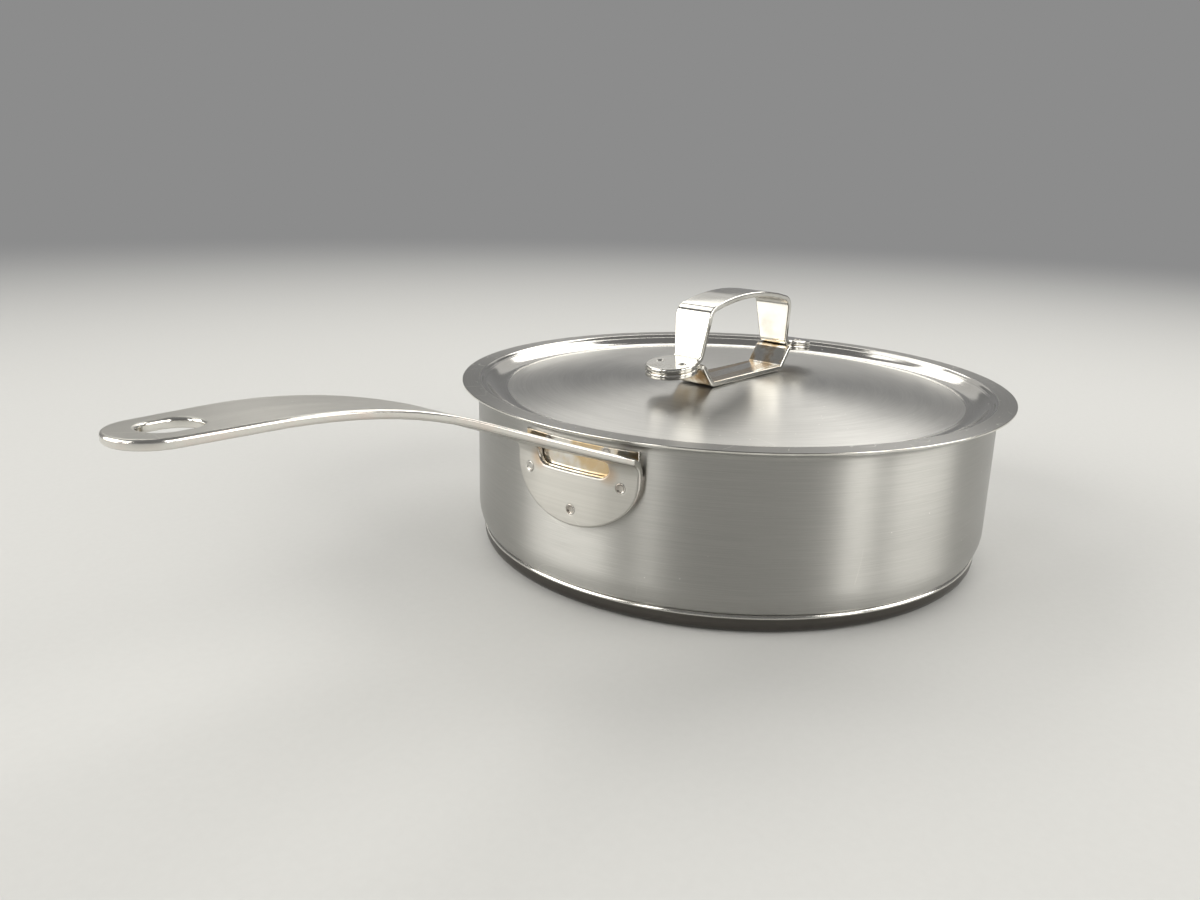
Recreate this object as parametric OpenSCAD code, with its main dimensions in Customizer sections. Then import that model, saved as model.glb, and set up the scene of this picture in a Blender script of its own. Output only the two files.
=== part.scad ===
/* [Pan body] */
// Inside diameter of the straight wall
pan_inner_d = 240; // [200:1:300]
// Thickness of the drawn pan sheet
pan_sheet = 1.0; // [0.8:0.1:1.5]
// Height of the top of the pouring rim above the floor
rim_top_z = 76.1; // [65:0.1:95]
// Radius of the large outer curve at the foot of the wall
foot_curve_r = 20; // [15:0.5:25]
// How far the large curve turns before the small one takes over
foot_curve_turn = 28; // [20:1:35]
// Radius of the small outer curve that ends in the flat bottom
foot_corner_r = 3; // [2:0.5:4]
// Outer radius of the flared rim
rim_flare_r = 3; // [2:0.5:5]
// How far the rim is turned outwards
rim_flare_turn = 85; // [60:1:88]
// Width of the nearly flat lip outside the flare
rim_lip_w = 1.8; // [0.5:0.1:2.5]

/* [Encapsulated base] */
// Thickness of the aluminium heat spreader
core_h = 7.3; // [4:0.1:9]
// Thickness of the steel cap pressed round it
cap_sheet = 0.7; // [0.5:0.1:1.2]
// How far the cap stands back from the outside of the pan wall
cap_inset = 2.5; // [2.5:0.1:5]
// Outer radius of the cap's lower corner
cap_corner_r = 5; // [3:0.5:6]
// Outer radius of the cap's polished shoulder
cap_shoulder_r = 1.5; // [1.2:0.1:2]
// How far the shoulder turns in towards the pan
cap_shoulder_turn = 60; // [40:1:60]
// Top of the straight side of the cap, below the top of the core
cap_side_drop = 1.0; // [0.8:0.1:1.5]
// Space between the edge of the core and the cap
core_edge_gap = 1.0; // [0.8:0.1:2]

/* [Long handle] */
// Thickness of the handle sheet
handle_sheet = 3.0; // [2:0.1:4]
// Reach of the handle's end from the shield
handle_l = 179; // [165:0.5:205]
// Height of the lowest point of the shield above the floor
shield_bottom_z = 37.5; // [30:0.5:45]
// Half width of the shield
shield_half_w = 29.8; // [26:0.1:34]
// Height over which the shield's lower edge is rounded
shield_round_h = 22.5; // [15:0.5:28]
// Height of the fold's centre above the floor
fold_z = 62.5; // [58:0.5:64]
// Inner radius of the fold between the shield and the strap
fold_r = 6; // [4:0.5:8]
// Slope of the straight stretch that rises from the pan
strap_slope = 21.6; // [15:0.1:25]
// Length of that straight stretch
strap_rise_l = 63; // [50:1:70]
// Radius of the long bow that levels the strap, on its underside
strap_bow_r = 240; // [180:1:280]
// Slope that is left at the grip
grip_slope = 1.4; // [0:0.1:3]
// Half width of the strap at its neck
neck_half_w = 13.2; // [10:0.1:16]
// Distance of the neck from the shield
neck_out = 89.5; // [75:0.5:100]
// Extra half width in the middle of the grip
grip_swell = 1.45; // [0:0.05:3]
// Radius of the handle's rounded end
end_r = 12.3; // [11.5:0.1:14]
// Width of the hanging hole
hole_w = 13; // [8:0.1:14]
// Length of the hanging hole
hole_l = 16.2; // [15:0.1:30]
// Metal between the hanging hole and the handle's end
hole_margin = 8.4; // [5:0.1:10]
// Half width of the window across the fold
window_half_w = 17; // [10:0.5:20]
// Height of the window's lower lip above the floor
window_lip_z = 60; // [54:0.5:62]
// Corner radius of the window
window_corner_r = 4; // [2:0.5:6]
// How far the window runs into the strap, from the shield
window_out = 11.5; // [9:0.5:18]

/* [Backing plate] */
// Thickness of the plate between the shield and the wall
plate_sheet = 1.5; // [1:0.1:2.5]
// Half width of its upper part
plate_half_w = 27.5; // [24:0.1:29]
// Height of its top edge below the start of the rim's flare
plate_top_drop = 0.2; // [0.2:0.1:2]
// How far its lower part stays inside the shield's outline
plate_inset = 0.6; // [0.2:0.1:2]

/* [Spot welds] */
// Diameter of the welds on the pan
pan_weld_d = 3.2; // [2.5:0.1:3.8]
// Depth of the dimple that each weld leaves
weld_dimple = 0.4; // [0.2:0.1:0.8]
// Half the distance between the upper two welds of the shield
shield_weld_half = 22.5; // [18:0.5:24]
// Height of the upper two welds of the shield
shield_weld_z = 57.2; // [54:0.1:60]
// Height of the lowest weld of the shield above its lower edge
shield_low_weld_up = 6.8; // [5:0.1:9]
// Half the distance between the welds above the handle
plate_weld_half = 14; // [10:0.5:20]
// Height of these welds below the plate's top edge
plate_weld_drop = 2.2; // [2.2:0.1:3]
// Diameter of the welds on the lid handle
lid_weld_d = 3.0; // [2.5:0.1:4]

/* [Lid] */
// Thickness of the lid sheet
lid_sheet = 1.1; // [0.8:0.1:1.3]
// Distance from the wall's inside to the inner edge of the lid's flange
flange_start = 0.5; // [0:0.1:1]
// Width of the flat flange
flange_w = 8; // [7:0.1:12]
// Height of the step inside the flange
lid_step_h = 1.4; // [1.2:0.1:2]
// Slope of that step
lid_step_slope = 50; // [30:1:60]
// Radius of the step's outer bends, on the top side
lid_bend_r = 1.4; // [1.4:0.1:2]
// Radius of the step's inner bend, on the top side
lid_crease_r = 0.4; // [0.2:0.1:0.6]
// Width of the narrow ledge below the step
lid_ledge_w = 0.5; // [0.3:0.1:1]
// Slope at which the channel's hollow side ends
channel_slope = 38; // [30:1:40]
// Radius of the channel's hollow side
channel_r = 11; // [8:0.5:12]
// Width of the channel, from the flange's inner edge to the foot of the dome
channel_w = 12.5; // [12:0.5:16]
// Height of the crown above the foot of the dome
dome_h = 5.7; // [4:0.1:12]
// Gap between the resting flange and the rim
lid_seat_gap = 0.2; // [0.1:0.05:0.3]
// How far the lid's handle is turned from the line of the long handle
lid_turn = -6; // [-15:1:15]

/* [Lid handle] */
// Thickness of its two strips
strip = 2.5; // [1.5:0.1:3]
// Outer radius of the round tabs
tab_r = 11.7; // [10:0.1:13]
// Distance of each tab's centre from the lid's axis
tab_x = 47.4; // [46:0.1:52]
// Height of the saddle's tabs above its floor, at their inner ends
saddle_rise = 8.9; // [7:0.1:12]
// Half length of the saddle's flat floor
saddle_floor_half = 27; // [20:0.5:30]
// Bend radius of the saddle on the inside
saddle_bend_r = 1.5; // [1:0.1:3]
// Slope of the saddle's ends
saddle_slope = 52; // [40:1:70]
// Half width of the saddle
saddle_half_w = 9.5; // [8:0.1:11]
// Half width of both strips where they join the tabs
foot_half_w = 7.6; // [6:0.1:9]
// Half width of the grip at its top
grip_half_w = 9.7; // [8:0.1:12]
// Distance of each leg's foot from the lid's axis, on the outside
leg_foot_x = 35.9; // [34:0.1:38]
// Slope of the tabs, down towards their ends
tab_slope = 6; // [0:0.5:10]
// How far the legs lean in
leg_lean = 7.5; // [0:0.5:10]
// Straight length of each leg
leg_l = 16.6; // [12:0.5:25]
// Inside radius of the bend between tab and leg
leg_foot_r = 1.5; // [1:0.1:3]
// Outside radius of the grip's shoulders
grip_shoulder_r = 6.5; // [6:0.5:12]
// Slope of the grip's crown where it meets the shoulders
crown_slope = 15; // [8:1:20]
// Half the distance between the two welds of one tab
tab_weld_half = 6.2; // [4:0.1:7]
// Half the distance between the saddle's welds along its floor
saddle_weld_half = 14; // [8:0.5:18]
// Half the distance between the saddle's welds across its floor
saddle_weld_side = 4.5; // [3:0.1:5]

/* [Hidden] */
$fn = 96;
// Largest turn and longest chord of one step along a bend
turn_step = 4;
chord_step = 8;
// How far a cutting or trimmed shape runs past the surface that it meets
over = 1;
// Gap between the dome and the lower ends of the saddle's welds
weld_seat_gap = 0.05;

steel_satin = [0.70, 0.70, 0.69];
steel_bright = [0.86, 0.86, 0.84];
aluminium = [0.78, 0.79, 0.80];
weld_grey = [0.62, 0.61, 0.60];

wall_r = pan_inner_d / 2 + pan_sheet;
pan_bottom_z = cap_sheet + core_h;
wall_foot_z = pan_bottom_z + foot_corner_r
    + (foot_curve_r - foot_corner_r) * sin(foot_curve_turn);
flare_inner_r = rim_flare_r + pan_sheet;
flare_start_z = rim_top_z - flare_inner_r * sin(rim_flare_turn) - rim_lip_w * cos(rim_flare_turn);
pan_flat_r = wall_r - foot_curve_r + (foot_curve_r - foot_corner_r) * cos(foot_curve_turn);

cap_r = wall_r - cap_inset;
cap_side_top_z = pan_bottom_z - cap_side_drop;
core_r = cap_r - cap_sheet - core_edge_gap;
core_corner_r = cap_corner_r - cap_sheet;

plate_r = wall_r + plate_sheet;
shield_r = plate_r + handle_sheet;
handle_reach = shield_r + handle_l;
neck_r = shield_r + neck_out;
window_reach = shield_r + window_out;
plate_top_z = flare_start_z - plate_top_drop;
end_centre_r = handle_reach - end_r;
hole_centre_r = handle_reach - hole_margin - hole_l / 2;
fold_turn = 90 - strap_slope;
bow_turn = strap_slope - grip_slope;
strap_level_r = shield_r + fold_r - fold_r * sin(strap_slope) + strap_rise_l * cos(strap_slope)
    + strap_bow_r * (sin(strap_slope) - sin(grip_slope));
grip_l = (handle_reach + over - strap_level_r) / cos(grip_slope);
plate_weld_z = plate_top_z - plate_weld_drop;

flange_top_z = rim_top_z + lid_seat_gap + lid_sheet;
lid_step_r = pan_inner_d / 2 + flange_start;
lid_r = lid_step_r + flange_w;
lid_step_bends = lid_bend_r + lid_crease_r;
lid_step_l = (lid_step_h - lid_step_bends * (1 - cos(lid_step_slope))) / sin(lid_step_slope);
ledge_r = lid_step_r - lid_step_bends * sin(lid_step_slope)
    - lid_step_l * cos(lid_step_slope) - lid_ledge_w;
dome_foot_r = lid_step_r - channel_w;
dome_r = (pow(dome_foot_r, 2) + pow(dome_h, 2)) / (2 * dome_h);
dome_turn = asin(dome_foot_r / dome_r);
channel_side_w = ledge_r - lid_bend_r * sin(channel_slope)
    - dome_foot_r - channel_r * (sin(dome_turn) + sin(channel_slope));
crown_z = flange_top_z - lid_step_h - lid_bend_r * (1 - cos(channel_slope))
    - channel_side_w * tan(channel_slope) - channel_r * (cos(dome_turn) - cos(channel_slope))
    + dome_h;

tab_end_l = tab_x + tab_r;
saddle_side_l = (saddle_rise - (saddle_bend_r + strip) * (1 - cos(saddle_slope))
    - saddle_bend_r * (cos(tab_slope) - cos(saddle_slope))) / sin(saddle_slope);
saddle_path = [[saddle_floor_half + over], [saddle_bend_r + strip, saddle_slope], [saddle_side_l],
    [saddle_bend_r, -saddle_slope - tab_slope], [tab_end_l]];
saddle_end = last_point(trace([-over, crown_z, 0], saddle_path));
tab_z = above_tab(saddle_end, tab_x, strip);
foot_z = above_tab(saddle_end, leg_foot_x, 2 * strip);
leg_top_x = leg_foot_x - leg_l * sin(leg_lean);
shoulder_turn = 90 - leg_lean - crown_slope;
crown_half = leg_top_x - grip_shoulder_r * cos(leg_lean) + grip_shoulder_r * sin(crown_slope);
crown_r = crown_half / sin(crown_slope);
grip_path = [[over], [crown_r, -crown_slope], [grip_shoulder_r, -shoulder_turn], [leg_l],
    [leg_foot_r, 90 - leg_lean - tab_slope], [tab_end_l]];
grip_end = last_point(trace([-over, 0, 0], grip_path));
grip_crown_z = above_tab(saddle_end, grip_end[0], 2 * strip) - grip_end[1];
dome_weld_r = norm([saddle_weld_half, saddle_weld_side]) - lid_weld_d / 2;
dome_weld_z = crown_z - dome_r + sqrt(pow(dome_r, 2) - pow(dome_weld_r, 2)) + weld_seat_gap;

// A bent sheet is traced as stretches: [length] runs straight, [radius, turn] bends, left if positive.
// Each traced point is [x, y, heading].
function ahead(p, l) = [p[0] + l * cos(p[2]), p[1] + l * sin(p[2]), p[2]];
function along_bend(p, r, turn) =
    let (s = sign(turn), h = p[2] + turn)
    [p[0] + s * r * (sin(h) - sin(p[2])), p[1] - s * r * (cos(h) - cos(p[2])), h];
function bend_points(p, r, turn) =
    let (n = max(2, ceil(abs(turn) / turn_step), ceil(r * abs(turn) * PI / 180 / chord_step)))
    [for (i = [1 : n]) along_bend(p, r, turn * i / n)];
function stretch(p, s) = len(s) == 1 ? [ahead(p, s[0])] : bend_points(p, s[0], s[1]);
function trace(p, stretches, i = 0) =
    i == len(stretches) ? [p]
    : let (pts = stretch(p, stretches[i])) concat([p], i + 1 == len(stretches) ? pts
        : concat([for (k = [0 : 1 : len(pts) - 2]) pts[k]],
                 trace(pts[len(pts) - 1], stretches, i + 1)));
function last_point(pts) = pts[len(pts) - 1];
function side_point(p, t) = [p[0] - t * sin(p[2]), p[1] + t * cos(p[2])];
function sheet_outline(pts, t) =
    concat([for (p = pts) [p[0], p[1]]],
           [for (i = [len(pts) - 1 : -1 : 0]) side_point(pts[i], t)]);

// Height at x of the line that runs parallel to a tab, a distance t above its traced end e
function above_tab(e, x, t) = e[1] + (t - (x - e[0]) * sin(tab_slope)) / cos(tab_slope);

// Half width of the strap at a distance r from the pan's axis
function strap_half_w(r) =
    r < neck_r
    ? neck_half_w + (shield_half_w - neck_half_w) * pow((neck_r - r) / (neck_r - shield_r), 2)
    : let (u = (r - neck_r) / (end_centre_r - neck_r))
      neck_half_w + (end_r - neck_half_w) * u + grip_swell * sin(180 * u);

module revolved_sheet(start, stretches, t) {
    rotate_extrude()
        polygon(sheet_outline(trace(start, stretches), t));
}

// Outline of the shield seen from outside, in width and height, rounded at its lower edge
module shield_face(half_w, low_z, round_h, top_z) {
    polygon(concat(
        [for (a = [180 : 6 : 360]) [half_w * cos(a), low_z + round_h * (1 + sin(a))]],
        [[half_w, top_z], [-half_w, top_z]]));
}

// Outline of the strap seen from above, with the pan's axis at the origin
module strap_plan() {
    side = [for (i = [0 : 40]) let (r = shield_r + (end_centre_r - shield_r) * i / 40)
        [-r, strap_half_w(r)]];
    round_end = [for (a = [6 : 6 : 174])
        [-end_centre_r - end_r * sin(a), end_r * cos(a)]];
    other = [for (i = [len(side) - 1 : -1 : 0]) [side[i][0], -side[i][1]]];
    polygon(concat([[0, shield_half_w]], side, round_end, other, [[0, -shield_half_w]]));
}

module hole_plan() {
    straight = hole_l - hole_w;
    for (s = [-1, 1])
        translate([-hole_centre_r + s * straight / 2, 0])
            circle(d = hole_w);
    translate([-hole_centre_r - straight / 2, -hole_w / 2])
        square([straight, hole_w]);
}

// Window across the fold, in width and height
module window_face() {
    for (s = [-1, 1])
        translate([s * (window_half_w - window_corner_r), window_lip_z + window_corner_r])
            circle(r = window_corner_r);
    translate([-window_half_w, window_lip_z + window_corner_r])
        square([2 * window_half_w, rim_top_z]);
    translate([window_corner_r - window_half_w, window_lip_z])
        square([2 * (window_half_w - window_corner_r), 2 * window_corner_r]);
}

module window_plan() {
    for (s = [-1, 1])
        translate([window_corner_r - window_reach, s * (window_half_w - window_corner_r)])
            circle(r = window_corner_r);
    translate([window_corner_r - window_reach, -window_half_w])
        square([window_reach - window_corner_r, 2 * window_half_w]);
    translate([-window_reach, window_corner_r - window_half_w])
        square([window_reach, 2 * (window_half_w - window_corner_r)]);
}

// Turns a drawing in width and height into a block that runs from the axis towards -X
module facing_handle(l) {
    rotate([90, 0, -90])
        linear_extrude(l)
            mirror([1, 0])
                children();
}

// Places its children on the outside of the pan, an arc length y round from the handle's middle
module on_wall(r, y, z) {
    rotate([0, 0, 180 - y / r * 180 / PI])
        translate([0, 0, z])
            rotate([0, 90, 0])
                children();
}

module shield_weld_places() {
    for (s = [-1, 1])
        on_wall(shield_r, s * shield_weld_half, shield_weld_z)
            children();
    on_wall(shield_r, 0, shield_bottom_z + shield_low_weld_up)
        children();
}

module plate_weld_places() {
    for (s = [-1, 1])
        on_wall(plate_r, s * plate_weld_half, plate_weld_z)
            children();
}

module tab_weld_places() {
    for (s = [0, 1], t = [-1, 1])
        mirror([s, 0, 0])
            translate([tab_x, t * tab_weld_half, tab_z])
                rotate([0, tab_slope, 0])
                    children();
}

module saddle_weld_places() {
    for (s = [-1, 1], t = [-1, 1])
        translate([s * saddle_weld_half, t * saddle_weld_side, 0])
            children();
}

module pan_body() {
    color(steel_satin)
        revolved_sheet([0, pan_bottom_z, 0],
            [[pan_flat_r], [foot_corner_r, 90 - foot_curve_turn], [foot_curve_r, foot_curve_turn],
             [flare_start_z - wall_foot_z], [rim_flare_r, -rim_flare_turn], [rim_lip_w]],
            pan_sheet);
}

module base_core() {
    color(aluminium)
        rotate_extrude()
            polygon(concat([[0, cap_sheet]],
                [for (p = bend_points([core_r - core_corner_r, cap_sheet, 0], core_corner_r, 90))
                    [p[0], p[1]]],
                [[core_r, cap_side_top_z], [core_r - cap_side_drop, pan_bottom_z],
                 [0, pan_bottom_z]]));
}

module base_cap() {
    color(steel_satin)
        revolved_sheet([0, 0, 0],
            [[cap_r - cap_corner_r], [cap_corner_r, 90], [cap_side_top_z - cap_corner_r],
             [cap_shoulder_r, cap_shoulder_turn]], cap_sheet);
}

module handle() {
    color(steel_satin)
        difference() {
            intersection() {
                revolved_sheet([shield_r, shield_bottom_z - over, 90],
                    [[fold_z + over - shield_bottom_z], [fold_r, -fold_turn], [strap_rise_l],
                     [strap_bow_r, -bow_turn], [grip_l]], handle_sheet);
                linear_extrude(2 * handle_reach)
                    strap_plan();
                facing_handle(handle_reach + over)
                    shield_face(shield_half_w, shield_bottom_z, shield_round_h, 2 * handle_reach);
            }
            linear_extrude(2 * handle_reach)
                hole_plan();
            intersection() {
                facing_handle(handle_reach)
                    window_face();
                linear_extrude(2 * handle_reach)
                    window_plan();
            }
            shield_weld_places()
                cylinder(h = shield_r + over, d = pan_weld_d);
        }
}

module handle_backing_plate() {
    color(steel_satin)
        difference() {
            intersection() {
                difference() {
                    cylinder(h = plate_top_z, r = plate_r);
                    translate([0, 0, -over])
                        cylinder(h = plate_top_z + 2 * over, r = wall_r);
                }
                facing_handle(plate_r + over)
                    union() {
                        shield_face(shield_half_w - plate_inset, shield_bottom_z + plate_inset,
                            shield_round_h, fold_z);
                        translate([-plate_half_w, shield_weld_z])
                            square([2 * plate_half_w, plate_top_z]);
                    }
            }
            shield_weld_places()
                cylinder(h = shield_r + over, d = pan_weld_d);
            plate_weld_places()
                cylinder(h = plate_r + over, d = pan_weld_d);
        }
}

module shield_spot_welds() {
    color(weld_grey)
        shield_weld_places()
            translate([0, 0, wall_r])
                cylinder(h = plate_sheet + handle_sheet - weld_dimple, d = pan_weld_d);
}

module backing_plate_spot_welds() {
    color(weld_grey)
        plate_weld_places()
            translate([0, 0, wall_r])
                cylinder(h = plate_sheet - weld_dimple, d = pan_weld_d);
}

module lid_shell() {
    color(steel_satin)
        revolved_sheet([0, crown_z, 0],
            [[dome_r, -dome_turn], [channel_r, dome_turn + channel_slope],
             [channel_side_w / cos(channel_slope)], [lid_bend_r, -channel_slope], [lid_ledge_w],
             [lid_crease_r, lid_step_slope], [lid_step_l], [lid_bend_r, -lid_step_slope],
             [flange_w]], -lid_sheet);
}

// Plan of a lid handle strip's round tabs
module tab_discs() {
    for (s = [-1, 1])
        translate([s * tab_x, 0])
            circle(r = tab_r);
}

// Sheet strip bent in the X-Z plane, mirrored about the lid's axis
module bent_strip(start, path, half_w, t) {
    pts = trace(start, path);
    for (s = [0, 1])
        mirror([s, 0, 0])
            rotate([90, 0, 0])
                linear_extrude(2 * half_w, center = true)
                    polygon(sheet_outline(pts, t));
}

module saddle_strip() {
    bent_strip([-over, crown_z, 0], saddle_path, tab_r + over, strip);
}

module grip_strip() {
    bent_strip([-over, grip_crown_z, 0], grip_path, tab_r + over, -strip);
}

module lid_saddle() {
    color(steel_bright)
        rotate([0, 0, lid_turn])
            difference() {
                intersection() {
                    saddle_strip();
                    linear_extrude(2 * grip_crown_z)
                        union() {
                            tab_discs();
                            square([2 * leg_foot_x, 2 * saddle_half_w], center = true);
                            square([2 * tab_x, 2 * foot_half_w], center = true);
                        }
                }
                tab_weld_places()
                    cylinder(h = 4 * strip, d = lid_weld_d, center = true);
                saddle_weld_places()
                    cylinder(h = crown_z + strip / 2, d = lid_weld_d);
            }
}

module lid_grip() {
    color(steel_bright)
        rotate([0, 0, lid_turn])
            difference() {
                union() {
                    intersection() {
                        grip_strip();
                        rotate([90, 0, 90])
                            linear_extrude(2 * tab_x, center = true)
                                polygon([[-foot_half_w, crown_z], [foot_half_w, crown_z],
                                    [foot_half_w, foot_z], [grip_half_w, foot_z + leg_l],
                                    [grip_half_w, grip_crown_z + over],
                                    [-grip_half_w, grip_crown_z + over],
                                    [-grip_half_w, foot_z + leg_l], [-foot_half_w, foot_z]]);
                    }
                    intersection() {
                        grip_strip();
                        linear_extrude(2 * grip_crown_z)
                            tab_discs();
                    }
                }
                tab_weld_places()
                    cylinder(h = 4 * strip, d = lid_weld_d, center = true);
            }
}

module lid_tab_spot_welds() {
    color(weld_grey)
        rotate([0, 0, lid_turn])
            tab_weld_places()
                cylinder(h = 2 * (strip - weld_dimple), d = lid_weld_d, center = true);
}

module saddle_spot_welds() {
    color(weld_grey)
        rotate([0, 0, lid_turn])
            translate([0, 0, dome_weld_z])
                saddle_weld_places()
                    cylinder(h = crown_z + strip / 2 - dome_weld_z, d = lid_weld_d);
}

pan_body();
base_core();
base_cap();
handle();
handle_backing_plate();
shield_spot_welds();
backing_plate_spot_welds();
lid_shell();
lid_saddle();
lid_grip();
lid_tab_spot_welds();
saddle_spot_welds();
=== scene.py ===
"""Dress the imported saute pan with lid: steel finishes, rounded sheet edges, spot weld rims, and the studio."""
import math

import bmesh
import bpy
from bpy.props import FloatProperty, FloatVectorProperty, PointerProperty
from bpy.types import Operator, Panel, PropertyGroup
from mathutils import Matrix, Vector


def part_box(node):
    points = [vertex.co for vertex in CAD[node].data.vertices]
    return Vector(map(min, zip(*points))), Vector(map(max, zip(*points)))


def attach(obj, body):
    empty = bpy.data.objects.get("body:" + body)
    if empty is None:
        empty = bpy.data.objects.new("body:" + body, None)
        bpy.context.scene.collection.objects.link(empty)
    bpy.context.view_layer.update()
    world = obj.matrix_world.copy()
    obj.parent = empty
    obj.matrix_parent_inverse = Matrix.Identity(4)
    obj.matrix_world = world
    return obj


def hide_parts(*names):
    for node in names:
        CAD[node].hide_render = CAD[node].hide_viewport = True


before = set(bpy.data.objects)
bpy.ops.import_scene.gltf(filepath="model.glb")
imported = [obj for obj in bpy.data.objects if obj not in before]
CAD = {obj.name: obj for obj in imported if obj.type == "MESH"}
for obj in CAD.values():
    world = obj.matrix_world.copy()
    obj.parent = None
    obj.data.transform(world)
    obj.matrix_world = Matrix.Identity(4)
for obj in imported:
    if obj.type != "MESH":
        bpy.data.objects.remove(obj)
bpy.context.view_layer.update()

bl_info = {
    "name": "Saute pan with lid",
    "version": (1, 0, 0),
    "blender": (4, 5, 0),
    "location": "3D View > Sidebar > Saute Pan",
    "description": "Finishes, rounded edges and studio for the packed saute pan",
    "category": "Object",
}

MM = 0.001

# ---- sizes -----------------------------------------------------------------------------------------------------

# edges sharper than this bound the faces of a sheet, and below the second one neighbours are one flat face
SHARP = math.radians(35)
FLAT = math.radians(0.2)
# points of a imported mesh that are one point; a rounded sheet also loses the slivers between points this close
SAME_POINT = 0.001 * MM
MERGE = 0.05 * MM
# a smaller region of a sheet is a sliver of one of its broad faces, and no cut edge
SLIVER = 1.0 * MM * MM
# how far the weld pins end below the sheet
WELD_DIMPLE = 0.4 * MM
# closed outline of a weld's rim, radius and height over the sheet in mm
RIM_PROFILE = ((1.0, -0.42), (1.25, -0.38), (1.45, -0.2), (1.6, 0.02), (1.8, 0.1), (2.05, 0.06), (2.25, -0.06),
               (2.1, -0.3), (1.5, -0.5))
# from the handle's tip to the outside of its shield, and the lower corners of its window
SHIELD_FROM_TIP = 179 * MM
WINDOW_HALF = 17 * MM
WINDOW_LOW_Z = 62 * MM
# from the lid's edge to the inner and the outer side of its channel
CHANNEL_IN = 20.5 * MM
CHANNEL_OUT = 8.5 * MM
# the lid handle's turn from the long handle's line, the slope of its tabs, and its thickness
LID_TURN = math.radians(-6)
TAB_SLOPE = math.radians(6)
STRIP = 2.5 * MM

# distances from the Z axis between which the floor fades into the room, in metres
FADE_START = 0.25
FADE_END = 1.9
# each lamp's name, azimuth and elevation in degrees, distance, width and height in metres, and power in watts
LAMPS = (
    ("left_softbox", 140, 21, 2.2, 1.7, 1.7, 40.0),
    ("left_strip", 178, 22, 2.2, 0.34, 1.5, 6.5),
    ("right_strip", 263, 21, 2.2, 0.5, 1.7, 12.9),
    ("right_softbox", 294, 21, 2.2, 1.27, 1.7, 25.8),
    ("back_left_softbox", 84, 46, 2.5, 1.1, 1.1, 10.0),
    ("back_right_softbox", 351, 42, 2.5, 1.33, 1.17, 19.5),
    ("back_band", 34, 38, 3.0, 2.2, 0.9, 15.0),
    ("back_fill", 40, 27, 3.2, 3.4, 1.0, 4.6))
# the point that the lamps face
LAMP_AIM = Vector((0, 0, 0.05))
# the photograph's viewpoint in metres, and its view: turn from +X, dip below the level, roll to the left
CAMERA_PLACE = Vector((-0.4180, -0.2263, 0.1775))
CAMERA_TURN = math.radians(35.99)
CAMERA_DIP = math.radians(16.36)
CAMERA_ROLL = math.radians(1.40)


# ---- helpers ---------------------------------------------------------------------------------------------------

def srgb(code):
    """Turn an sRGB hex colour into linear RGBA."""
    parts = [int(code[i:i + 2], 16) / 255 for i in (1, 3, 5)]
    return tuple(p / 12.92 if p <= 0.04045 else ((p + 0.055) / 1.055) ** 2.4 for p in parts) + (1.0,)


def dimmed(colour, share):
    """A darker tone of a linear colour."""
    return tuple(part * share for part in colour[:3]) + (1.0,)


def plug(tree, node, inputs):
    """Give a node's inputs a constant, a socket, or a node, whose first live output then feeds them."""
    for socket, value in inputs.items():
        if isinstance(value, bpy.types.Node):
            value = next(output for output in value.outputs if output.enabled)
        if isinstance(value, bpy.types.NodeSocket):
            tree.links.new(value, node.inputs[socket])
        else:
            node.inputs[socket].default_value = value


def add(tree, kind, inputs=None, **settings):
    """Add a shader node with its settings and its links. A Mix node's inputs go by number: 0 is the share, 2 and 3
    are its values, 4 and 5 its vectors, 6 and 7 its colours."""
    node = tree.nodes.new("ShaderNode" + kind)
    for name, value in settings.items():
        setattr(node, name, value)
    plug(tree, node, inputs or {})
    return node


def steel(name, **constants):
    """Start a metal with its constants on the shader's own sockets, and the point in the object's own metres."""
    material = bpy.data.materials.new(name)
    material.use_nodes = True
    tree = material.node_tree
    tree.nodes.clear()
    shader = add(tree, "BsdfPrincipled", {"Metallic": 1.0, **constants})
    add(tree, "OutputMaterial", {"Surface": shader})
    return material, tree, shader, add(tree, "TexCoord").outputs["Object"]


def layers(tree, colour, *over):
    """Lay colours over a first one. Each has a pattern, the two values between which it comes in, its full share,
    and its colour."""
    for pattern, low, high, share, top in over:
        amount = add(tree, "MapRange", {"Value": pattern, "From Min": low, "From Max": high, "To Max": share},
                     interpolation_type="SMOOTHSTEP")
        colour = add(tree, "Mix", {0: amount, 6: colour, 7: top}, data_type="RGBA")
    return colour


def total(tree, *parts):
    """Sum patterns. Each has two of its values, and what these become."""
    result = 0.0
    for pattern, low, high, to_low, to_high in parts:
        part = add(tree, "MapRange", {"Value": pattern, "From Min": low, "From Max": high, "To Min": to_low,
                                      "To Max": to_high}, interpolation_type="SMOOTHSTEP")
        result = add(tree, "Math", {0: result, 1: part}, operation="ADD")
    return result


def both(tree, one, other):
    """Where two masks, each a pattern with its two limits, meet."""
    first, second = (total(tree, (*mask, 0.0, 1.0)) for mask in (one, other))
    return add(tree, "Math", {0: first, 1: second}, operation="MULTIPLY")


def radius(tree, point):
    """How far the point lies from the Z axis."""
    flat = add(tree, "VectorMath", {0: point, 1: (1, 1, 0)}, operation="MULTIPLY")
    return add(tree, "VectorMath", {0: flat}, operation="LENGTH")


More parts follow.
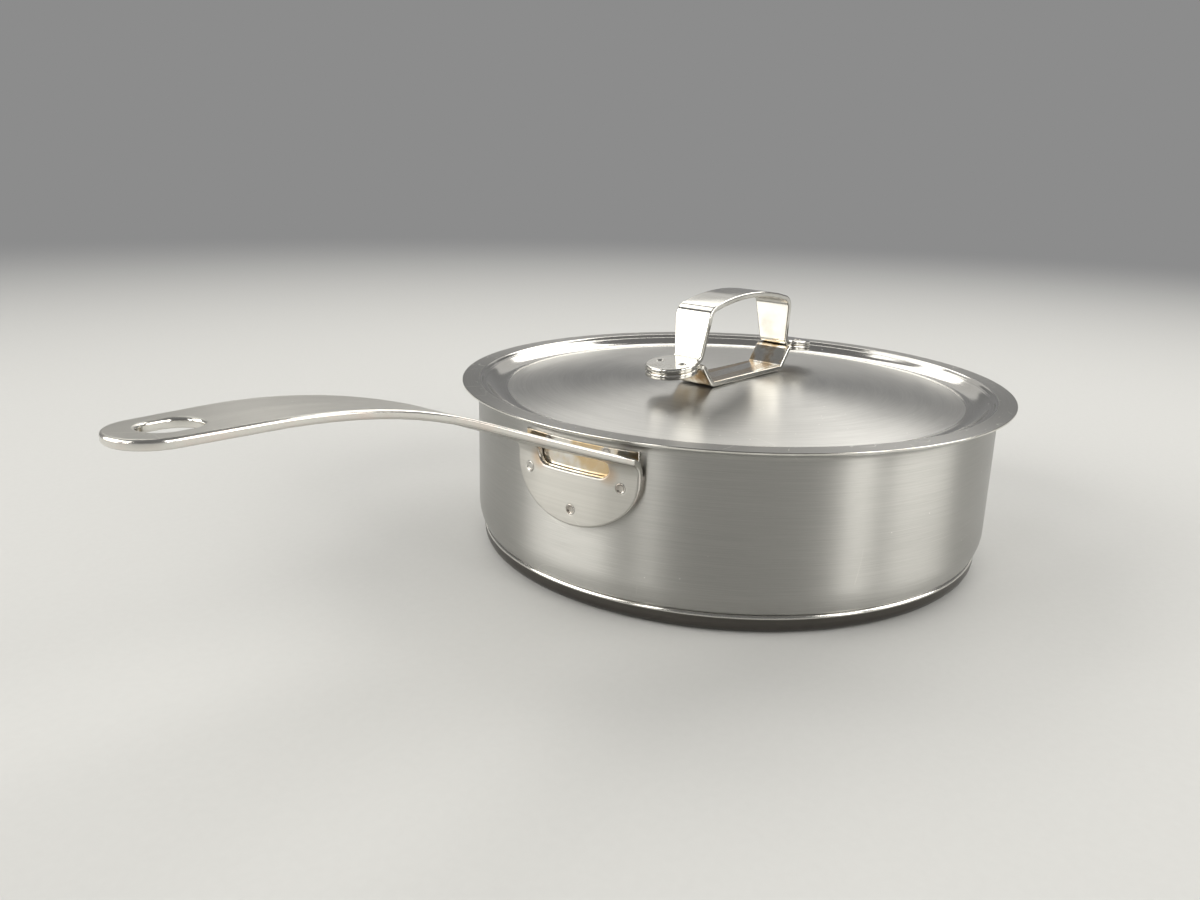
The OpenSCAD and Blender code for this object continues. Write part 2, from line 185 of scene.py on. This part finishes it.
def ring_grain(tree, point, turn_scale, pitch, detail=2.0):
    """Noise drawn out in rings round the Z axis, on flat and on upright surfaces alike: one line each pitch."""
    flat = add(tree, "VectorMath", {0: point, 1: (1, 1, 0)}, operation="MULTIPLY")
    turn = add(tree, "VectorMath", {0: flat}, operation="NORMALIZE")
    turn = add(tree, "VectorMath", {0: turn, "Scale": turn_scale}, operation="SCALE")
    away = add(tree, "VectorMath", {0: flat}, operation="LENGTH")
    across = add(tree, "Math", {0: away, 1: pitch}, operation="DIVIDE")
    height = add(tree, "SeparateXYZ", {0: point}).outputs["Z"]
    upward = add(tree, "Math", {0: height, 1: pitch}, operation="DIVIDE")
    vector = add(tree, "VectorMath", {0: turn, 1: add(tree, "CombineXYZ", {"Z": across})}, operation="ADD")
    return add(tree, "TexNoise", {"Vector": vector, "W": upward, "Scale": 1.0, "Detail": detail, "Roughness": 0.6},
               noise_dimensions="4D")


def line_grain(tree, point, scale, detail=2.0):
    """Noise drawn out along the direction whose scale, in lines a metre, is small."""
    vector = add(tree, "Mapping", {"Vector": point, "Scale": scale})
    return add(tree, "TexNoise", {"Vector": vector, "Scale": 1.0, "Detail": detail, "Roughness": 0.6})


def hairlines(tree, point, size, width, seed):
    """Fine handling scratches: thin contours of a smooth noise, broken up into patches. The seed moves the noise,
    so that each finish has its own."""
    start = add(tree, "Mapping", {"Vector": point, "Location": (seed, seed * 0.7, seed * 1.3)})
    wander = add(tree, "TexNoise", {"Vector": start, "Scale": 1 / size, "Detail": 0.0})
    line = add(tree, "Math", {0: wander, 1: 0.5, 2: width}, operation="COMPARE")
    patch = add(tree, "TexNoise", {"Vector": start, "Scale": 2.3 / size, "Detail": 1.0})
    return both(tree, (line, 0.0, 1.0), (patch, 0.52, 0.6))


def specks(tree, point, spacing, size, share):
    """Small spots of dust and water marks. Their size is a share of their spacing, and only a share of them
    shows."""
    cells = add(tree, "TexVoronoi", {"Vector": point, "Scale": 1 / spacing})
    chosen = add(tree, "SeparateColor", {0: cells.outputs["Color"]})
    return both(tree, (cells.outputs["Distance"], size, size * 0.5), (chosen, 0.99 - share, 1 - share))


# ---- finishes --------------------------------------------------------------------------------------------------

PALE = srgb("#E0DED8")
DUST = srgb("#E6E4DE")
# how metallic the steel still is under dust
DUSTY = 0.15
# turns the stretched highlight of brushed steel across the rings or lines
ACROSS = 0.25


def belted_pan_steel(tone):
    """18/10 stainless steel, deep drawn and then belted round while it turned: a satin sheen that smears every
    light along the axis into soft upright bands, fine rings, and a few handling marks."""
    material, tree, shader, point = steel("belted_18_10_steel", **{"Anisotropic": 0.92,
                                                                   "Anisotropic Rotation": ACROSS})
    # the real grit leaves lines of about 0.05 mm; drawn at 0.22 mm so that they show
    fine = ring_grain(tree, point, turn_scale=5.0, pitch=0.22 * MM)
    broad = ring_grain(tree, point, turn_scale=0.7, pitch=6.0 * MM, detail=0.0)
    marks = hairlines(tree, point, size=45 * MM, width=0.0018, seed=3.0)
    dust = specks(tree, point, spacing=4.5 * MM, size=0.08, share=0.2)
    plug(tree, shader, {
        "Base Color": layers(tree, dimmed(tone, 0.86), (fine, 0.3, 0.7, 1.0, tone), (marks, 0, 1, 0.16, PALE),
                             (dust, 0, 1, 0.5, DUST)),
        "Metallic": total(tree, (dust, 0, 1, 1.0, DUSTY)),
        "Roughness": total(tree, (fine, 0.25, 0.75, 0.34, 0.42), (broad, 0.3, 0.7, -0.01, 0.01)),
        "Normal": add(tree, "Bump", {"Height": fine, "Strength": 0.05, "Distance": 0.01 * MM}),
        "Tangent": add(tree, "Tangent", direction_type="RADIAL", axis="Z")})
    return material


def pressed_base_steel(tone, shoulder_z):
    """Stainless cap pressed round the heat spreader: satin side, whose dark tone is painted shade, and a shoulder
    polished by the ironing die, whose pale colour is a painted highlight.
    """
    material, tree, shader, point = steel("pressed_base_steel")
    # lines of about 0.05 mm on the real cap; drawn at 0.18 mm
    fine = ring_grain(tree, point, turn_scale=7.0, pitch=0.18 * MM)
    scuffs = add(tree, "TexNoise", {"Vector": point, "Scale": 120.0, "Detail": 3.0})
    height = add(tree, "SeparateXYZ", {0: point}).outputs["Z"]
    # the die polished the top millimetre, and the satin starts 0.6 mm lower; the low roughness there is the real
    # polish, the pale colour a painted highlight
    shoulder = (height, shoulder_z - 1.6 * MM, shoulder_z - 1.0 * MM)
    satin = total(tree, (fine, 0.25, 0.75, 0.29, 0.38))
    plug(tree, shader, {
        "Base Color": layers(tree, dimmed(tone, 0.85), (fine, 0.3, 0.7, 1.0, tone),
                             (scuffs, 0.55, 0.75, 0.3, dimmed(tone, 0.6)), (*shoulder, 1.0, srgb("#D8D6D0"))),
        "Roughness": add(tree, "Mix", {0: total(tree, (*shoulder, 0.0, 1.0)), 2: satin, 3: 0.12}),
        "Normal": add(tree, "Bump", {"Height": fine, "Strength": 0.03, "Distance": 0.01 * MM})})
    return material


def spun_lid_steel(tone, channel_in, channel_out):
    """Stainless lid, pressed and belted in rings: a satin dome, a channel that keeps the polish of the press and
    is painted paler as a highlight, and a flange dulled by stacking and darkened as a painted dark reflection,
    with specks and short scratches."""
    material, tree, shader, point = steel("ring_brushed_lid_steel", **{"Anisotropic": 0.7,
                                                                       "Anisotropic Rotation": ACROSS})
    # the real belt lines are about 0.05 mm apart; drawn at 0.35 mm so that they show
    fine = ring_grain(tree, point, turn_scale=4.0, pitch=0.35 * MM)
    broad = ring_grain(tree, point, turn_scale=1.6, pitch=6.0 * MM, detail=1.0)
    away = radius(tree, point)
    soft = 1.0 * MM
    channel = both(tree, (away, channel_in - soft, channel_in), (away, channel_out + soft, channel_out))
    flange = (away, channel_out, channel_out + soft)
    marks = hairlines(tree, point, size=50 * MM, width=0.0018, seed=5.0)
    scratches = both(tree, (hairlines(tree, point, size=14 * MM, width=0.004, seed=9.0), 0, 1), flange)
    dust = specks(tree, point, spacing=3.5 * MM, size=0.1, share=0.3)
    grit = both(tree, (specks(tree, point, spacing=2.5 * MM, size=0.09, share=0.2), 0, 1), flange)
    satin = total(tree, (fine, 0.4, 0.6, 0.29, 0.32), (broad, 0.35, 0.65, 0.0, 0.02), (*flange, 0.0, 0.1))
    plug(tree, shader, {
        "Base Color": layers(tree, dimmed(tone, 0.84), (fine, 0.35, 0.65, 1.0, tone),
                             # the flange's halved tone is a painted dark reflection, and the channel's paler
                             # colour a painted highlight over its real polish
                             (*flange, 1.0, dimmed(tone, 0.5)), (channel, 0, 1, 1.0, srgb("#CFCDC8")),
                             (marks, 0, 1, 0.3, PALE), (scratches, 0, 1, 0.4, PALE), (dust, 0, 1, 0.6, DUST),
                             (grit, 0, 1, 0.6, DUST)),
        "Metallic": total(tree, (dust, 0, 1, 1.0, DUSTY), (grit, 0, 1, 0.0, DUSTY - 1)),
        "Roughness": add(tree, "Mix", {0: channel, 2: satin, 3: 0.13}),
        "Normal": add(tree, "Bump", {"Height": fine, "Strength": 0.015, "Distance": 0.01 * MM}),
        "Tangent": add(tree, "Tangent", direction_type="RADIAL", axis="Z")})
    return material


def belted_strip_steel(tone, shield_x):
    """3 mm stainless strip: belted along the handle, and across the shield once it was bent. The lower corners of
    the window are straw-coloured: part weld heat tint, part painted shade in those corners."""
    material, tree, shader, point = steel("belted_strip_steel", **{"Anisotropic": 0.7,
                                                                   "Anisotropic Rotation": ACROSS})
    away = add(tree, "SeparateXYZ", {0: point}).outputs["X"]
    shield = (away, shield_x - 6 * MM, shield_x)
    on_shield = total(tree, (*shield, 0.0, 1.0))
    # lines of about 0.05 mm on the real strip; drawn at 0.4 mm, 2600 a metre, so that they show
    fine = add(tree, "Mix", {0: on_shield, 2: line_grain(tree, point, (9, 2600, 9), detail=0.0),
                             3: line_grain(tree, point, (5, 5, 2600), detail=0.0)})
    broad = line_grain(tree, point, (8, 180, 8), detail=1.0)
    marks = hairlines(tree, point, size=35 * MM, width=0.002, seed=7.0)
    dust = specks(tree, point, spacing=4.5 * MM, size=0.07, share=0.2)
    # straw-brown spots at the window's lower corners: part weld heat tint, part painted shade
    corners = [(shield_x, side * WINDOW_HALF, WINDOW_LOW_Z) for side in (-1, 1)]
    heat = [(add(tree, "VectorMath", {0: point, 1: corner}, operation="DISTANCE"), 6 * MM, 1.2 * MM, 0.5,
             srgb("#A98456")) for corner in corners]
    plug(tree, shader, {
        "Base Color": layers(tree, dimmed(tone, 0.95), (fine, 0.4, 0.6, 1.0, tone), (marks, 0, 1, 0.3, PALE),
                             (dust, 0, 1, 0.5, DUST), *heat),
        "Metallic": total(tree, (dust, 0, 1, 1.0, DUSTY)),
        "Roughness": total(tree, (fine, 0.4, 0.6, 0.29, 0.31), (broad, 0.3, 0.7, 0.0, 0.04), (*shield, 0.0, 0.05)),
        "Normal": add(tree, "Bump", {"Height": fine, "Strength": 0.02, "Distance": 0.01 * MM}),
        # the brushing direction: along the bent strip, and across the shield
        "Tangent": add(tree, "Mix", {0: on_shield, 4: (-0.7, 0, 0.7), 5: (0, 1, 0)}, data_type="VECTOR")})
    return material


def polished_steel(name, tone, low, high, tint="#C9C7C0", drawn=(70, 70, 70), tinted=0.7):
    """Stainless steel buffed on a wheel: near mirror, with soft clouding or heat tint and thin wipe marks. Its
    roughness runs from low to high. The tint lies in streaks drawn out by the scales, in lines a metre, and is
    full where their noise reaches tinted. On the backing plate and the saddle the warm tint is part heat tint,
    part painted warm reflection."""
    material, tree, shader, point = steel(name)
    cloud = line_grain(tree, point, drawn, detail=3.0)
    marks = hairlines(tree, point, size=20 * MM, width=0.003, seed=11.0)
    plug(tree, shader, {
        "Base Color": layers(tree, tone, (cloud, 0.4, tinted, 1.0, srgb(tint))),
        "Roughness": total(tree, (cloud, 0.3, 0.7, low, high), (marks, 0, 1, 0.0, 0.03)),
        "Normal": add(tree, "Bump", {"Height": cloud, "Strength": 0.03, "Distance": 0.2 * MM})})
    return material


# ---- shapes ----------------------------------------------------------------------------------------------------

def finish_piece(name, shape, body, materials):
    """Make an object of a bmesh, give it its finishes, and let it ride on its body."""
    mesh = bpy.data.meshes.new(name)
    shape.to_mesh(mesh)
    shape.free()
    piece = bpy.data.objects.new(name, mesh)
    bpy.context.scene.collection.objects.link(piece)
    for material in materials:
        mesh.materials.append(material)
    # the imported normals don't fit a mesh whose points were merged
    if "custom_normal" in mesh.attributes:
        mesh.attributes.remove(mesh.attributes["custom_normal"])
    mesh.shade_smooth()
    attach(piece, body)
    return piece


def sheet_regions(shape, angle):
    """Sort the faces into regions bounded by sharp edges, largest first."""
    found = set()
    regions = []
    for start in shape.faces:
        if start in found:
            continue
        found.add(start)
        region = [start]
        # the region grows while it is gone through
        for face in region:
            for edge in face.edges:
                if edge.calc_face_angle(0) <= angle:
                    fresh = [other for other in edge.link_faces if other not in found]
                    found.update(fresh)
                    region.extend(fresh)
        regions.append(region)
    return sorted(regions, key=lambda region: -sum(face.calc_area() for face in region))


def rounded_sheet(node, name, edge_r, body, materials):
    """Copy a packed sheet and merge its loose triangles. Its two broad faces get the first finish, its cut edges
    the second, and the edges between the two finishes are rounded."""
    shape = bmesh.new()
    shape.from_mesh(CAD[node].data)
    bmesh.ops.remove_doubles(shape, verts=shape.verts, dist=MERGE)
    bmesh.ops.dissolve_degenerate(shape, edges=shape.edges, dist=MERGE)
    for edge in shape.edges:
        edge.smooth = True
    for number, region in enumerate(sheet_regions(shape, SHARP)):
        area = sum(face.calc_area() for face in region)
        for face in region:
            face.material_index = 0 if number < 2 or area < SLIVER else 1
    bmesh.ops.dissolve_limit(shape, angle_limit=FLAT, verts=shape.verts, edges=shape.edges,
                             delimit={"MATERIAL"})
    # the modifier rounds only the edges that have a weight
    weight = shape.edges.layers.float.new("bevel_weight_edge")
    for edge in shape.edges:
        if len({face.material_index for face in edge.link_faces}) == 2:
            edge[weight] = 1.0
    piece = finish_piece(name, shape, body, materials)
    bevel = piece.modifiers.new("rounded edges", "BEVEL")
    bevel.limit_method = "WEIGHT"
    bevel.width = edge_r
    bevel.segments = 4
    bevel.profile = 0.5
    bevel.material = -1
    bevel.use_clamp_overlap = False
    bevel.loop_slide = False
    even = piece.modifiers.new("even shading", "WEIGHTED_NORMAL")
    even.mode = "FACE_AREA"
    even.weight = 60
    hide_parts(node)


def islands(mesh):
    """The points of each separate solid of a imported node."""
    shape = bmesh.new()
    shape.from_mesh(mesh)
    bmesh.ops.remove_doubles(shape, verts=shape.verts, dist=SAME_POINT)
    # each point once, in the order of the mesh
    solids = [dict.fromkeys(vert for face in region for vert in face.verts)
              for region in sheet_regions(shape, math.pi)]
    points = [[vert.co.copy() for vert in solid] for solid in solids]
    shape.free()
    return points


def weld_rims(name, places, body, materials):
    """The pressed rim round each spot weld: one spun ring for each place, a point on the sheet and its normal."""
    shape = bmesh.new()
    for point, normal in places:
        ring = [shape.verts.new((r * MM, 0, z * MM)) for r, z in RIM_PROFILE]
        edges = [shape.edges.new((one, other)) for one, other in zip(ring, ring[1:] + ring[:1])]
        bmesh.ops.spin(shape, geom=ring + edges, cent=(0, 0, 0), axis=(0, 0, 1), angle=math.tau, steps=32,
                       use_merge=True)
        fresh = [vert for vert in shape.verts if not vert.tag]
        turn = normal.to_track_quat("Z", "Y").to_matrix().to_4x4()
        bmesh.ops.transform(shape, matrix=Matrix.Translation(point) @ turn, verts=fresh)
        for vert in fresh:
            vert.tag = True
    bmesh.ops.remove_doubles(shape, verts=shape.verts, dist=SAME_POINT)
    bmesh.ops.recalc_face_normals(shape, faces=shape.faces)
    finish_piece(name, shape, body, materials)


# ---- settings --------------------------------------------------------------------------------------------------

class FinishSettings(PropertyGroup):
    """Colours and edge sizes of the pan and its lid."""
    wall: FloatVectorProperty(name="Wall", description="Tone of the belted wall", subtype="COLOR", size=4,
                              default=srgb("#B7B6B2"))
    # the base's dark tone is painted shade: the same steel as the wall, darkened to stand in for the dark
    # reflection along its side
    base: FloatVectorProperty(name="Base", description="Tone of the base's side", subtype="COLOR", size=4,
                              default=srgb("#5C5955"))
    lid: FloatVectorProperty(name="Lid", description="Tone of the ring-brushed lid", subtype="COLOR", size=4,
                             default=srgb("#B5B4B1"))
    strip: FloatVectorProperty(name="Strip", description="Tone of the handle's belted strip", subtype="COLOR",
                               size=4, default=srgb("#BDBBB5"))
    polish: FloatVectorProperty(name="Polish", description="Tone of the polished grip and edges", subtype="COLOR",
                                size=4, default=srgb("#DEDCD6"))
    handle_edge_r: FloatProperty(name="Handle edge radius", description="Radius of the handle's ground edges",
                                 default=1.0 * MM, min=0.1 * MM, max=1.4 * MM, unit="LENGTH")
    plate_edge_r: FloatProperty(name="Plate edge radius", description="Radius of the backing plate's edges",
                                default=0.4 * MM, min=0.1 * MM, max=0.6 * MM, unit="LENGTH")
    grip_edge_r: FloatProperty(name="Grip edge radius", description="Radius of the lid grip's edges",
                               default=0.7 * MM, min=0.1 * MM, max=1.1 * MM, unit="LENGTH")
    lid_edge_r: FloatProperty(name="Lid edge radius", description="Radius of the lid's cut edge",
                              default=0.35 * MM, min=0.1 * MM, max=0.5 * MM, unit="LENGTH")


class StudioSettings(PropertyGroup):
    """Sizes of the floor, the lamps and the lens."""
    floor: FloatVectorProperty(name="Floor", description="Colour of the floor paper", subtype="COLOR", size=4,
                               default=srgb("#D2D2D0"))
    distance: FloatVectorProperty(name="Distance", description="Colour into which floor and room fade",
                                  subtype="COLOR", size=4, default=srgb("#8C8C8C"))
    floor_r: FloatProperty(name="Floor radius", description="Radius of the floor", default=6.0, unit="LENGTH")
    lens: FloatProperty(name="Lens", description="Focal length for a 36 mm sensor", default=29.905,
                        unit="CAMERA")


# ---- studio ----------------------------------------------------------------------------------------------------

def lay_floor(studio):
    """A round sheet of matt paper that fades into the room."""
    floor_shape = bmesh.new()
    bmesh.ops.create_circle(floor_shape, cap_ends=True, segments=96, radius=studio.floor_r)
    mesh = bpy.data.meshes.new("floor")
    floor_shape.to_mesh(mesh)
    floor_shape.free()
    floor = bpy.data.objects.new("floor", mesh)
    bpy.context.scene.collection.objects.link(floor)
    material = bpy.data.materials.new("matt_paper")
    material.use_nodes = True
    tree = material.node_tree
    tree.nodes.clear()
    point = add(tree, "TexCoord").outputs["Object"]
    mottle = add(tree, "TexNoise", {"Vector": point, "Scale": 300.0, "Detail": 2.0})
    pale = tuple(studio.floor)
    paper = add(tree, "BsdfPrincipled", {
        "Base Color": layers(tree, dimmed(pale, 0.97), (mottle, 0, 1, 1.0, pale)), "Roughness": 0.8})
    haze = add(tree, "Emission", {"Color": tuple(studio.distance), "Strength": 1.0})
    fade = total(tree, (radius(tree, point), FADE_START, FADE_END, 0.0, 1.0))
    add(tree, "OutputMaterial", {"Surface": add(tree, "MixShader", {0: fade, 1: paper, 2: haze})})
    mesh.materials.append(material)


def tone_room(studio):
    """A plain grey room. At its horizon it has the colour into which the floor fades."""
    world = bpy.data.worlds.new("studio")
    bpy.context.scene.world = world
    world.use_nodes = True
    tree = world.node_tree
    tree.nodes.clear()
    # the sine of the elevation: the room darkens from the horizon up, and is a little lighter overhead
    up = add(tree, "SeparateXYZ", {0: add(tree, "TexCoord").outputs["Generated"]}).outputs["Z"]
    room = layers(tree, tuple(studio.distance), (up, 0.12, 0.5, 1.0, srgb("#6C6C6C")),
                  (up, 0.6, 0.95, 1.0, srgb("#808080")))
    add(tree, "OutputWorld", {"Surface": add(tree, "Background", {"Color": room, "Strength": 1.0})})


def softbox(name, azimuth, elevation, distance, width, height, power):
    """A rectangular lamp that faces the pan."""
    lamp = bpy.data.lights.new(name, "AREA")
    lamp.shape = "RECTANGLE"
    lamp.size, lamp.size_y, lamp.energy, lamp.color = width, height, power, srgb("#FFFDF8")[:3]
    holder = bpy.data.objects.new(name, lamp)
    turn, rise = math.radians(azimuth), math.radians(elevation)
    spot = Vector((math.cos(turn) * math.cos(rise), math.sin(turn) * math.cos(rise), math.sin(rise))) * distance
    holder.matrix_world = Matrix.Translation(LAMP_AIM + spot) @ spot.to_track_quat("Z", "Y").to_matrix().to_4x4()
    bpy.context.scene.collection.objects.link(holder)


def place_camera(focal_length):
    """A camera with the photograph's viewpoint and framing."""
    lens = bpy.data.cameras.new("camera")
    lens.sensor_width = 36.0
    lens.lens = focal_length
    lens.clip_start = 0.01
    holder = bpy.data.objects.new("camera", lens)
    level = Vector((math.cos(CAMERA_TURN), math.sin(CAMERA_TURN), 0))
    ahead = level * math.cos(CAMERA_DIP) - Vector((0, 0, math.sin(CAMERA_DIP)))
    right = ahead.cross(Vector((0, 0, 1))).normalized()
    up = right.cross(ahead)
    rolled_right = right * math.cos(CAMERA_ROLL) + up * math.sin(CAMERA_ROLL)
    rolled_up = up * math.cos(CAMERA_ROLL) - right * math.sin(CAMERA_ROLL)
    pose = Matrix((rolled_right, rolled_up, -ahead)).transposed().to_4x4()
    holder.matrix_world = Matrix.Translation(CAMERA_PLACE) @ pose
    bpy.context.scene.collection.objects.link(holder)
    bpy.context.scene.camera = holder


# ---- operators -------------------------------------------------------------------------------------------------

def dress(node, material):
    """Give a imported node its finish."""
    for slot in CAD[node].material_slots:
        slot.material = material


class SAUTE_OT_pan(Operator):
    """Belt the drawn pan and finish its base"""
    bl_idname = "saute.pan"
    bl_label = "Pan and base"

    def execute(self, context):
        finish = context.scene.saute_finish
        dress("pan_body", belted_pan_steel(tuple(finish.wall)))
        dress("base_cap", pressed_base_steel(tuple(finish.base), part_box("base_cap")[1].z))
        dress("base_core", polished_steel("plain_aluminium", srgb("#BFC1C3"), low=0.3, high=0.4))
        return {"FINISHED"}


class SAUTE_OT_handle(Operator):
    """Round and belt the long handle and its backing plate"""
    bl_idname = "saute.handle"
    bl_label = "Long handle"

    def execute(self, context):
        finish = context.scene.saute_finish
        shield_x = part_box("handle")[0].x + SHIELD_FROM_TIP
        belted = belted_strip_steel(tuple(finish.strip), shield_x)
        # the plate's cream streaks are part heat tint, part painted warm reflection
        plate = polished_steel("plate_heat_tint_and_painted_reflection", tuple(finish.polish), low=0.17, high=0.24,
                               tint="#CDB690", drawn=(60, 60, 60), tinted=0.6)
        edge = polished_steel("ground_edge_steel", tuple(finish.polish), low=0.14, high=0.24, tint="#E0D6CE")
        rounded_sheet("handle", "long_handle", finish.handle_edge_r, "pan", (belted, edge))
        rounded_sheet("handle_backing_plate", "backing_plate", finish.plate_edge_r, "pan",
                      (plate, edge))
        return {"FINISHED"}


class SAUTE_OT_lid(Operator):
    """Brush the lid in rings and round its edge"""
    bl_idname = "saute.lid"
    bl_label = "Lid"

    def execute(self, context):
        finish = context.scene.saute_finish
        lid_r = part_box("lid_shell")[1].x
        brushed = spun_lid_steel(tuple(finish.lid), lid_r - CHANNEL_IN, lid_r - CHANNEL_OUT)
        edge = polished_steel("polished_rim_steel", tuple(finish.polish), low=0.12, high=0.2)
        rounded_sheet("lid_shell", "lid_sheet", finish.lid_edge_r, "lid", (brushed, edge))
        return {"FINISHED"}


class SAUTE_OT_grip(Operator):
    """Round and polish the lid's grip and saddle"""
    bl_idname = "saute.grip"
    bl_label = "Lid grip"

    def execute(self, context):
        finish = context.scene.saute_finish
        strip = polished_steel("polished_strip_steel", tuple(finish.polish), low=0.1, high=0.2)
        edge = polished_steel("polished_strip_edge", tuple(finish.polish), low=0.1, high=0.16)
        rounded_sheet("lid_grip", "grip_bow", finish.grip_edge_r, "lid", (strip, edge))
        # straw-coloured streaks along the saddle: part weld heat tint, part painted warm reflection
        saddle = polished_steel("saddle_heat_tint_and_painted_reflection", tuple(finish.polish), low=0.12, high=0.2,
                                tint="#B39F82", drawn=(14, 190, 190), tinted=0.65)
        rounded_sheet("lid_saddle", "grip_saddle", finish.grip_edge_r, "lid", (saddle, edge))
        return {"FINISHED"}


class SAUTE_OT_welds(Operator):
    """Press a rim round each spot weld that shows"""
    bl_idname = "saute.welds"
    bl_label = "Spot welds"

    def execute(self, context):
        finish = context.scene.saute_finish
        weld = polished_steel("fused_steel", dimmed(tuple(finish.polish), 0.8), low=0.17, high=0.24,
                              tint="#9A8F84")
        for node in ("shield_spot_welds", "backing_plate_spot_welds", "lid_tab_spot_welds", "saddle_spot_welds"):
            dress(node, weld)
        for node, name in (("shield_spot_welds", "shield_weld_rims"),
                           ("backing_plate_spot_welds", "plate_weld_rims")):
            places = []
            for points in islands(CAD[node].data):
                middle = sum(points, Vector()) / len(points)
                outward = Vector((middle.x, middle.y, 0)).normalized()
                end = max(point.dot(outward) for point in points) + WELD_DIMPLE
                places.append((outward * end + Vector((0, 0, middle.z)), outward))
            weld_rims(name, places, "pan", (weld,))
        places = []
        for points in islands(CAD["lid_tab_spot_welds"].data):
            middle = sum(points, Vector()) / len(points)
            side = math.copysign(1, middle.x)
            outward = Vector((side * math.sin(TAB_SLOPE), 0, math.cos(TAB_SLOPE)))
            outward.rotate(Matrix.Rotation(LID_TURN, 3, "Z"))
            # the middle of a pin lies between the two strips
            places.append((middle + outward * STRIP, outward))
        weld_rims("tab_weld_rims", places, "lid", (weld,))
        return {"FINISHED"}


class SAUTE_OT_studio(Operator):
    """Lay the floor, set the lamps, the surroundings and the camera"""
    bl_idname = "saute.studio"
    bl_label = "Studio"

    def execute(self, context):
        studio = context.scene.saute_studio
        lay_floor(studio)
        tone_room(studio)
        for lamp in LAMPS:
            softbox(*lamp)
        place_camera(studio.lens)
        context.scene.view_settings.view_transform = "Standard"
        return {"FINISHED"}


class SAUTE_PT_panel(Panel):
    """Lists the steps that dress the pan"""
    bl_idname = "SAUTE_PT_panel"
    bl_label = "Saute Pan"
    bl_space_type = "VIEW_3D"
    bl_region_type = "UI"
    bl_category = "Saute Pan"

    def draw(self, context):
        layout = self.layout
        for operator in OPERATORS:
            layout.operator(operator.bl_idname)
        for group in (context.scene.saute_finish, context.scene.saute_studio):
            for name in group.bl_rna.properties.keys():
                if name not in ("rna_type", "name"):
                    layout.prop(group, name)


OPERATORS = (SAUTE_OT_pan, SAUTE_OT_handle, SAUTE_OT_lid, SAUTE_OT_grip, SAUTE_OT_welds, SAUTE_OT_studio)
CLASSES = (FinishSettings, StudioSettings) + OPERATORS + (SAUTE_PT_panel,)


def register():
    """Add the classes and their settings to Blender."""
    for cls in CLASSES:
        bpy.utils.register_class(cls)
    bpy.types.Scene.saute_finish = PointerProperty(type=FinishSettings)
    bpy.types.Scene.saute_studio = PointerProperty(type=StudioSettings)


def unregister():
    """Take them out again."""
    del bpy.types.Scene.saute_studio
    del bpy.types.Scene.saute_finish
    for cls in reversed(CLASSES):
        bpy.utils.unregister_class(cls)


def main():
    """Dress the pan."""
    for name in ("Cube", "Light", "Camera"):
        if name in bpy.data.objects:
            bpy.data.objects.remove(bpy.data.objects[name])
    register()
    bpy.ops.saute.studio()
    bpy.ops.saute.pan()
    bpy.ops.saute.handle()
    bpy.ops.saute.lid()
    bpy.ops.saute.grip()
    bpy.ops.saute.welds()


if __name__ == "__main__":
    main()
